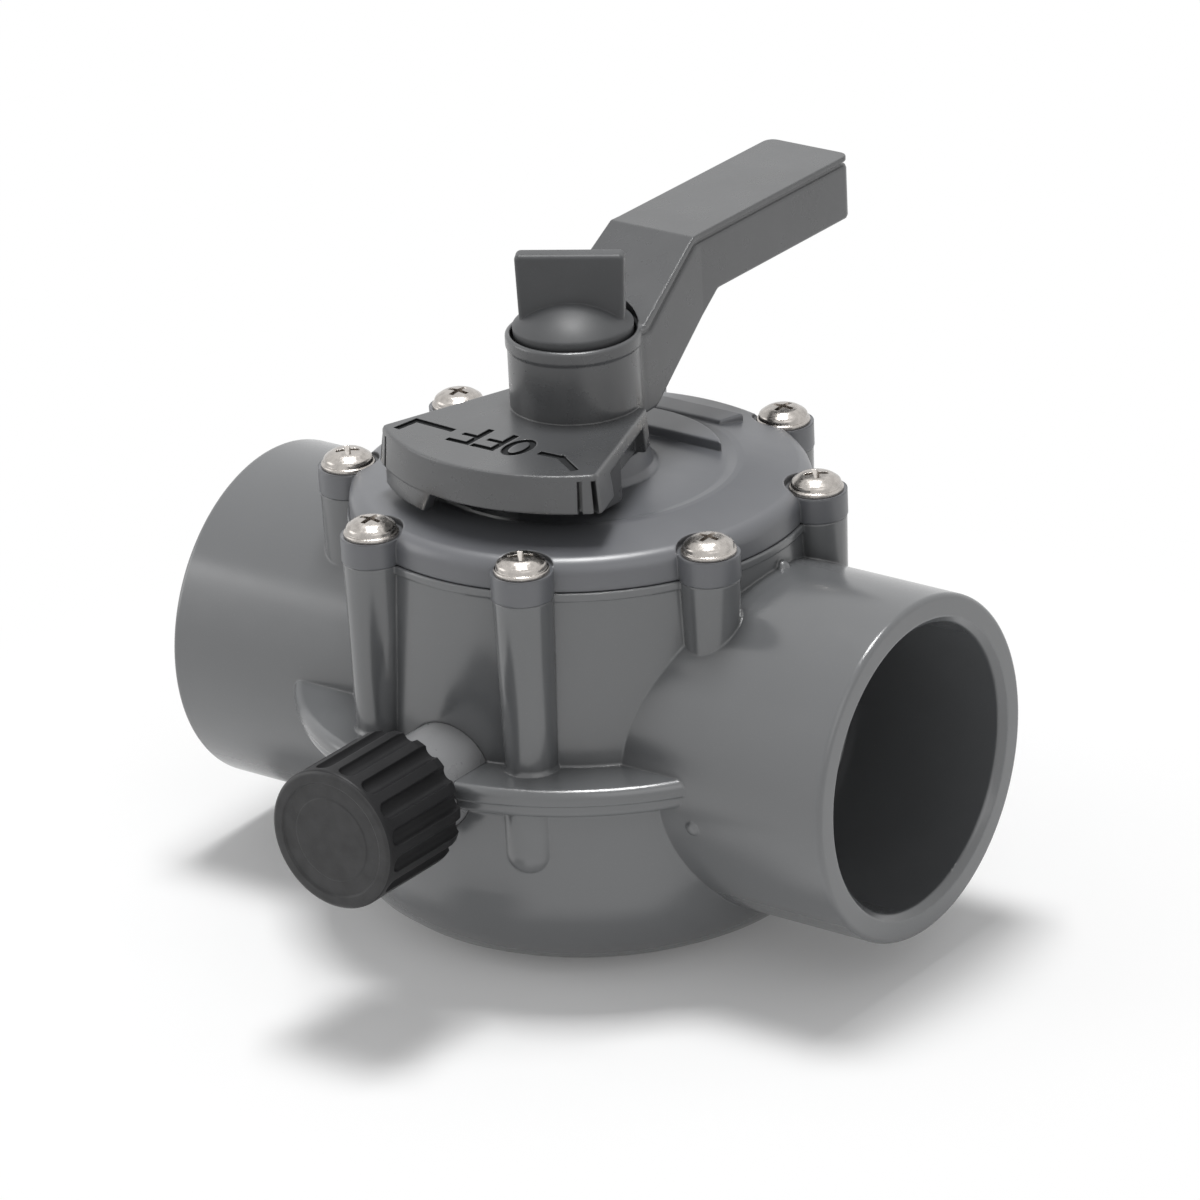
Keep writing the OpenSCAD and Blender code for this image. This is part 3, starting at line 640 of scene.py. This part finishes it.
def markPlate(plate, v, m):
    # OFF and a mark on each side of it, read from the grip's side
    top, width, depth = v["fanTop"], m["stroke"], m["depth"]
    for stem in m["stems"]:
        low, high, reach = m["lettersLow"], m["lettersHigh"], m["letterWidth"]
        cutStroke(plate, [(stem, high), (stem, low)], width, top, depth)
        cutStroke(plate, [(stem, low), (stem - reach, low)], width, top, depth)
        bar = low + m["barHeight"]
        cutStroke(plate, [(stem, bar), (stem - reach * m["barReach"], bar)], width * m["barStroke"], top, depth)
    wide, tall = m["letterWidth"] / 2, (m["lettersHigh"] - m["lettersLow"]) / 2
    oval = ovalLine(m["ring"], wide + width / 2, tall + width / 2)
    core = ovalLine(m["ring"], wide - width / 2, tall - width / 2)
    ring = slab("letterRing", oval, top - depth, depth + 1)
    combine(ring, slab("letterCore", core, top - depth - 1, depth + 3), operation="DIFFERENCE")
    combine(plate, ring, operation="DIFFERENCE")
    for line in m["marks"]:
        cutStroke(plate, line, m["markStroke"], top, depth)


def besideFan(side, a, n, t):
    # a point n mm out from the fan's middle line and t mm along its side, which leans by a
    return side * (n * math.cos(a) + t * math.sin(a)), n * math.sin(a) - t * math.cos(a)


def relieveFan(plate, v, m):
    # sunk sides under the plate, slots at the front corners and a lower lip at the front left
    a = math.radians(v["fanAngle"])
    out = v["fanHalfWidth"] * math.cos(a)
    u = out - m["slotCorner"]
    w = math.sqrt((v["fanRadius"] - m["slotCorner"]) ** 2 - u * u)
    low = v["skirtLow"] - 1
    for side in (-1, 1):
        deep, clear = out - m["sideDepth"], out + 3
        flat = [besideFan(side, a, *p) for p in (
            (deep, m["sideStart"]), (clear, m["sideStart"]), (clear, m["sideEnd"]), (deep, m["sideEnd"]))]
        combine(plate, slab("sideSink", flat, low, m["sideTop"] - low), operation="DIFFERENCE")
        cx, cy = besideFan(side, a, u, w)
        for turn, top in m["slots"]:
            b = math.radians(turn)
            dx, dy = side * math.cos(b), math.sin(b)
            wx, wy = -dy * m["slotWidth"] / 2, dx * m["slotWidth"] / 2
            near, far = m["slotCorner"] - m["slotDepth"], m["slotCorner"] + 3
            cut = [(cx + dx * near + wx, cy + dy * near + wy), (cx + dx * far + wx, cy + dy * far + wy),
                   (cx + dx * far - wx, cy + dy * far - wy), (cx + dx * near - wx, cy + dy * near - wy)]
            combine(plate, slab("cornerSlot", cut, low, top - low), operation="DIFFERENCE")
    first, last = (math.radians(k) for k in m["lipTurn"])
    turns = [first + (last - first) * k / 16 for k in range(17)]
    outer, inner = v["fanRadius"] - 0.1, v["fanRadius"] - v["skirtThickness"]
    arc = [(outer * math.cos(t), outer * math.sin(t)) for t in turns]
    arc += [(inner * math.cos(t), inner * math.sin(t)) for t in reversed(turns)]
    lip = slab("frontLip", arc, m["lipLow"], v["skirtLow"] + 1 - m["lipLow"])
    for vertex in lip.data.vertices:           # its end slopes
        if vertex.co.z < (m["lipLow"] + 0.1) * mm:
            share = (math.atan2(vertex.co.y, vertex.co.x) - first) / (last - first)
            vertex.co = Matrix.Rotation(math.radians(-m["lipSlope"] * share), 3, "Z") @ vertex.co
    near, far = out - m["sideLipIn"], out - m["sideLipOut"]
    edge = [besideFan(-1, a, *p) for p in (
        (near, m["sideLipStart"]), (far, m["sideLipStart"]), (far, w + 2), (near, w + 2))]
    side = slab("sideLip", edge, m["sideLipLow"], v["skirtLow"] + 1 - m["sideLipLow"])
    combine(plate, soften(lip, 0.3, 50), side)


relief = {"sideDepth": 1.8, "sideStart": 5, "sideEnd": 29.5, "sideTop": 105.6,
          "slots": [(-65, 107.2), (-22, 107.2)], "slotWidth": 1.0, "slotDepth": 1.3, "slotCorner": 3.5,
          "lipTurn": (-130.5, -101), "lipLow": 95.9, "lipSlope": 4,
          "sideLipLow": 96.6, "sideLipStart": 12, "sideLipIn": 2.3, "sideLipOut": 0.15}


def makeLever(v):
    plate = slab("leverHandle", fanOutline(v, 0), v["skirtLow"], v["fanTop"] - v["skirtLow"])
    for vertex in plate.data.vertices:         # draft: wider at the foot
        if vertex.co.z < (v["skirtLow"] + 0.1) * mm:
            vertex.co.x *= 1 + v["skirtDraft"]
    soften(plate, 0.7, 50)
    relieveFan(plate, v, relief)
    hub = turned("hub", roundOff([
        (0, v["skirtLow"] + 1, 0), (v["hubRadius"] - 0.35, v["skirtLow"] + 1, 0.3),
        (v["hubRadius"] - 0.35, v["hubTop"] - 3.2, 0.5), (v["hubRadius"], v["hubTop"] - v["collarHeight"], 0.4),
        (v["hubRadius"], v["hubTop"], 0.7), (0, v["hubTop"], 0)], steps=5), steps=96)
    body = armLayer(v, "armBody", 0, armSide(v, 1.9, 0), 0.9)
    neck = armLayer(v, "armNeck", 0.6, armSide(v, 0.6, 1.0), 0.15)
    top = slab("armTopPlan", armPlan(v, 0.05), v["skirtLow"], 50)
    band = armSide(v, 0, 0)[3:]
    low = armSide(v, 1.2, 0)[4:]
    strip = [(v["gripReach"], v["gripTop"] - 1.2)] + band[1:5] + [(0, v["hubTop"] - 1.2)] + low[::-1][1:-1]
    side = slab("armTopSide", strip, -30, 60, "X")
    combine(top, side, operation="INTERSECT")
    soften(top, 0.45, 30)
    hollow = slab("fanHollow", fanOutline(v, v["skirtThickness"]), v["skirtLow"] - 1,
                  v["fanLow"] - v["skirtLow"] + 1)
    keep = turned("fanKeep", [(0, 90), (v["sleeveRadius"], 90), (v["sleeveRadius"], 110), (0, 110)], steps=72)
    combine(hollow, keep, operation="DIFFERENCE")
    combine(plate, hub, body, neck, top)
    combine(plate, hollow, operation="DIFFERENCE")
    recess = turned("hubRecess", roundOff([
        (0, v["recess"], 0), (v["recessRadius"], v["recess"], 0.6), (v["recessRadius"], 124.0, 0),
        (v["recessRadius"] + 0.5, 124.6, 0), (v["recessRadius"] + 0.5, 160, 0), (0, 160, 0)], steps=4),
        steps=96)
    radius, half, end, narrow = v["stemRadius"], v["stemHalf"], v["stemTop"], v["studHole"]
    stem = turned("stemSocket", [(0, 99), (radius, 99), (radius, end), (0, end)], steps=64)
    flats = slab("stemFlats", [(-half, -20), (half, -20), (half, 20), (-half, 20)], 98, 22)
    combine(stem, flats, operation="INTERSECT")
    hole = turned("studHole", [(0, 99), (narrow, 99), (narrow, 121), (0, 121)], steps=40)
    combine(plate, recess, stem, hole, operation="DIFFERENCE")
    outer = v["padFace"] - v["tabGap"]
    front, back = -v["padFace"] - v["tabFront"], -v["padFace"] + v["tabBack"]
    for side in (-1, 1):
        ends = sorted((side * outer, side * (outer - v["tabThickness"])))
        tab = slab("tab", [(ends[0], front), (ends[1], front), (ends[1], back), (ends[0], back)],
                   v["tabLow"], v["fanLow"] - v["tabLow"] + 1)
        combine(plate, soften(tab, 0.35, 50))
    return plate


marks = {"stroke": 1.45, "markStroke": 1.7, "depth": 0.5, "stems": [-5.6, 0.7],
         "lettersLow": -30, "lettersHigh": -22.3, "letterWidth": 4.4, "ring": (4.9, -26.5),
         "barHeight": 3.9, "barReach": 0.75, "barStroke": 0.85,
         "marks": [[(-13, -25.8), (-22.2, -25.2), (-23, -30)], [(11, -26.7), (15.5, -26.5), (21.4, -30.3)]],
         "half": 24.4, "front": -31.6, "back": -21.4}


handle = makeLever(lever)
markPlate(handle, lever, marks)
finishPiece(handle, plastics["leverGrey"], "rotor", ["handle"])
handle.data.materials.append(plastics["paintedGrooveShade"])
for face in handle.data.polygons:          # floors and walls of the grooves, given a darker material as painted shade
    spot = face.center / mm
    sunk = lever["fanTop"] - 0.6 < spot.z < lever["fanTop"] - 0.03
    if sunk and abs(spot.x) < marks["half"] and marks["front"] < spot.y < marks["back"]:
        face.material_index = 1


# lock knob

knob = {"low": 121.2, "radius": 12.5, "domeTop": 131, "domeRise": 5.2, "studHole": 3.02, "studDepth": 6,
        "wingWidth": 22.6, "wingFoot": 5.4, "wingHead": 4.3,
        "wingTop": 141.1, "wingLow": 126, "wingAngle": 30.3}


def makeKnob(k):
    domeRadius = (k["radius"] ** 2 + k["domeRise"] ** 2) / (2 * k["domeRise"])
    foot = k["domeTop"] - k["domeRise"]
    dome = []
    for i in range(1, 15):
        r = k["radius"] * (1 - i / 15)
        dome.append((r, foot + math.sqrt(domeRadius ** 2 - r * r) - (domeRadius - k["domeRise"]), 0))
    disc = turned("lockKnob", roundOff([
        (0, k["low"] + k["studDepth"], 0), (k["studHole"], k["low"] + k["studDepth"], 0),
        (k["studHole"], k["low"], 0), (k["radius"] - 0.2, k["low"], 0.4), (k["radius"], foot, 0.7)]
        + dome + [(0, k["domeTop"], 0)], steps=5), steps=96)
    half = k["wingWidth"] / 2
    wing = slab("wing", roundOff([
        (-half + 0.5, k["wingLow"]), (half - 0.5, k["wingLow"]), (half, k["wingTop"], 1.1),
        (-half, k["wingTop"], 1.1)], 0, 6), -k["wingHead"] / 2, k["wingHead"], "X")
    for vertex in wing.data.vertices:          # draft: thicker at the foot
        lean = (k["wingTop"] * mm - vertex.co.z) / ((k["wingTop"] - k["wingLow"]) * mm)
        vertex.co.x *= 1 + lean * (k["wingFoot"] / k["wingHead"] - 1)
    soften(wing, 0.9, 50, 3)
    pick(wing)
    wing.rotation_euler = (0, 0, math.radians(k["wingAngle"] - 90))
    bpy.ops.object.transform_apply(location=True, rotation=True, scale=True)
    combine(disc, wing)
    return disc


knobPiece = makeKnob(knob)
finishPiece(knobPiece, plastics["knobGrey"], "knob", ["lock_knob"])


# outlet neck with its thread

outletNeck = {"radius": 10.48, "seat": 44.5, "neckEnd": 64.8, "end": 83.6, "bore": 6.5, "pitch": 1.814,
              "threadStart": 66, "threadDepth": 1.1, "turns": 8,
              "crestStart": 0.72, "crestEnd": 0.98, "rootEnd": 1.7}


def makeNeck(n):
    core = n["radius"] - n["threadDepth"]
    tube = turned("outletNeck", roundOff([
        (n["bore"], n["seat"], 0), (n["radius"], n["seat"], 0), (n["radius"], n["neckEnd"], 0.5),
        (core, n["neckEnd"], 0.3), (core, n["end"], 0.6), (n["bore"], n["end"], 0.5)], steps=4),
        "Y", 72, closed=True)
    ridges = []
    for k in range(n["turns"]):
        at = n["threadStart"] + k * n["pitch"]
        ridges.append(turned("ridge", roundOff([
            (core - 0.6, at, 0), (core - 0.05, at, 0), (n["radius"], at + n["crestStart"], 0.1),
            (n["radius"], at + n["crestEnd"], 0.1), (core - 0.05, at + n["rootEnd"], 0),
            (core - 0.6, at + n["rootEnd"], 0)], steps=2), "Y", 72, closed=True))
    combine(tube, gather(ridges))
    return tube


neck = makeNeck(outletNeck)
finishPiece(neck, plastics["nippleGrey"], "valve_body", ["outlet_nipple"])


# grooved outlet cap

cap = {"back": 64.3, "end": 88.4, "radius": 15, "bore": 10.58, "endThickness": 3.5, "grooves": 16,
       "grooveRadius": 1.9, "grooveOut": 0.25, "grooveStop": 1.6,
       "faceRing": (12.4, 12.1), "faceDisc": (9.0, 8.8), "ringDepth": 0.4, "discDepth": 0.25}


def makeCap(c):
    ringOut, ringIn = c["faceRing"]
    discOut, discIn = c["faceDisc"]
    ringFloor, discTop = c["end"] - c["ringDepth"], c["end"] - c["discDepth"]
    body = turned("outletCap", roundOff([
        (0, c["end"] - c["endThickness"], 0), (c["bore"], c["end"] - c["endThickness"], 0.3),
        (c["bore"], c["back"], 0.3), (c["radius"] - 0.5, c["back"], 0.3), (c["radius"], c["back"] + 2, 2),
        (c["radius"], c["end"], 1.1), (ringOut, c["end"], 0.3), (ringIn, ringFloor, 0.3),
        (discOut, ringFloor, 0.3), (discIn, discTop, 0.2), (0, discTop, 0)], steps=5), "Y", 160)
    grooves = []
    length = c["end"] - c["grooveStop"] - c["back"] + 1
    groove = turned("groove", roundOff([
        (0, 0, 0), (c["grooveRadius"], 0, 0), (c["grooveRadius"], length, c["grooveRadius"] - 0.05),
        (0, length, 0)], steps=7), steps=24)
    for k in range(c["grooves"]):
        copy = groove.copy()
        copy.data = groove.data.copy()
        bpy.context.collection.objects.link(copy)
        turn = fullTurn * (k + 0.5) / c["grooves"]
        reach = c["radius"] + c["grooveOut"]
        pick(copy)
        copy.rotation_euler = (math.pi / 2, 0, 0)
        spot = (reach * math.cos(turn), -c["back"] + 1, portHeight + reach * math.sin(turn))
        copy.location = Vector(spot) * mm
        bpy.ops.object.transform_apply(location=True, rotation=True, scale=True)
        grooves.append(copy)
    bpy.data.objects.remove(groove, do_unlink=True)
    combine(body, gather(grooves), operation="DIFFERENCE")
    return body


capPiece = makeCap(cap)
finishPiece(capPiece, plastics["capBlack"], "cap", ["outlet_cap"])
capPiece.data.materials.append(plastics["capFace"])
for face in capPiece.data.polygons:        # the flat end
    if face.center.y < (0.6 - cap["end"]) * mm and face.normal.y < -0.5:
        face.material_index = 1


# finishes for the inner pieces that keep their own shape

innerFinish = {
    "floor_bushing": plastics["bearingWhite"], "cover_bushing": plastics["bearingWhite"],
    "thrust_washer": plastics["bearingWhite"], "wear_washer": plastics["bearingWhite"],
    "cover_seal_ring": plastics["sealBlack"], "stem_seal_lower": plastics["sealBlack"],
    "stem_seal_upper": plastics["sealBlack"], "diverter_seal": plastics["sealBlack"],
    "outlet_gasket": plastics["sealBlack"], "diverter": plastics["gateDark"],
    "stem_insert": metals["insertBrass"], "knob_washer": metals["studSteel"], "knob_stud": metals["studSteel"],
}
for nodeName, material in innerFinish.items():
    part = nodes[nodeName]
    if not part.material_slots:
        part.data.materials.append(material)
    for slot in part.material_slots:
        slot.link = "OBJECT"
        slot.material = material
print("inner pieces finished")


# floor, light and camera

studio = {
    "lens": 214.55, "distance": 1485.94, "azimuth": 37.26, "elevation": 23.36, "roll": -2.83,
    "aim": (3.45, 0.0, 64.51), "floorColour": (0.94, 0.94, 0.94), "worldStrength": 0.335,
    "floorFadeStart": 0.10, "floorFadeEnd": 0.20, "floorWhite": 0.12,
}


def seenDirect(tree):
    # 1 for camera, mirror and glass rays
    path = tree.nodes.new("ShaderNodeLightPath")
    total = None
    for name in ("Is Camera Ray", "Is Glossy Ray", "Is Transmission Ray"):
        if total is None:
            total = path.outputs[name]
            continue
        larger = tree.nodes.new("ShaderNodeMath")
        larger.operation = "MAXIMUM"
        tree.links.new(total, larger.inputs[0])
        tree.links.new(path.outputs[name], larger.inputs[1])
        total = larger.outputs[0]
    return total


def makeFloor(s):
    # pale floor that turns into the white background away from the valve's shadow
    clearSelection()
    bpy.ops.mesh.primitive_plane_add(size=6, location=(0, 0, -0.0004))
    floor = bpy.context.object
    floor.name = "studioFloor"
    material, tree, shader, place = newMaterial("paleFloor")
    shader.inputs["Base Color"].default_value = (*s["floorColour"], 1)
    shader.inputs["Roughness"].default_value = 0.9
    away = tree.nodes.new("ShaderNodeVectorMath")
    away.operation = "LENGTH"
    tree.links.new(place, away.inputs[0])
    fade = spread(tree, away.outputs["Value"], s["floorFadeStart"], s["floorFadeEnd"], s["floorWhite"], 1)
    share = tree.nodes.new("ShaderNodeMath")
    share.operation = "MULTIPLY"
    tree.links.new(fade, share.inputs[0])
    tree.links.new(seenDirect(tree), share.inputs[1])
    white = tree.nodes.new("ShaderNodeEmission")
    mixed = tree.nodes.new("ShaderNodeMixShader")
    tree.links.new(share.outputs[0], mixed.inputs[0])
    tree.links.new(shader.outputs[0], mixed.inputs[1])
    tree.links.new(white.outputs[0], mixed.inputs[2])
    tree.links.new(mixed.outputs[0], tree.nodes["Material Output"].inputs["Surface"])
    floor.data.materials.append(material)


def makeWorld(s):
    world = bpy.data.worlds.new("studioWorld")
    bpy.context.scene.world = world
    world.use_nodes = True
    tree = world.node_tree
    back = tree.nodes["Background"]
    back.inputs["Color"].default_value = (1, 1, 1, 1)
    strength = spread(tree, seenDirect(tree), 0, 1, s["worldStrength"], 1.0)
    tree.links.new(strength, back.inputs["Strength"])


lamps = {                     # metres and watts
    "keyTop": {"place": (-0.11, 0.15, 1.4), "aim": (0, 0, 0.05), "size": 0.42, "power": 14},
    "fillLeft": {"place": (-1.2, -0.7, 0.5), "aim": (0, 0, 0.06), "size": 0.8, "power": 3},
    "fillRight": {"place": (0.95, -0.6, 0.8), "aim": (0, 0, 0.04), "size": 0.9, "power": 1.6},
}


def areaLamp(name, place, aim, size, power):
    lamp = bpy.data.lights.new(name, "AREA")
    lamp.energy = power
    lamp.shape = "SQUARE"
    lamp.size = size
    holder = bpy.data.objects.new(name, lamp)
    bpy.context.collection.objects.link(holder)
    holder.location = place
    holder.rotation_euler = (Vector(aim) - Vector(place)).to_track_quat("-Z", "Y").to_euler()


def makeCamera(s):
    camera = bpy.data.cameras.new("photoCamera")
    camera.lens = s["lens"]
    camera.sensor_width = 36
    camera.clip_end = 20
    holder = bpy.data.objects.new("photoCamera", camera)
    bpy.context.collection.objects.link(holder)
    azimuth, elevation, roll = (math.radians(s[k]) for k in ("azimuth", "elevation", "roll"))
    back = Vector((math.sin(azimuth) * math.cos(elevation), -math.cos(azimuth) * math.cos(elevation),
                   math.sin(elevation)))
    right = Vector((0, 0, 1)).cross(back).normalized()
    up = back.cross(right)
    turnedRight = right * math.cos(roll) + up * math.sin(roll)
    turnedUp = up * math.cos(roll) - right * math.sin(roll)
    matrix = Matrix((turnedRight, turnedUp, back)).transposed().to_4x4()
    matrix.translation = (Vector(s["aim"]) + back * s["distance"]) * mm
    holder.matrix_world = matrix
    bpy.context.scene.camera = holder


makeFloor(studio)
makeWorld(studio)
for name, lamp in lamps.items():
    areaLamp(name, **lamp)
makeCamera(studio)
bpy.context.scene.view_settings.view_transform = "Standard"

print("scene ready")
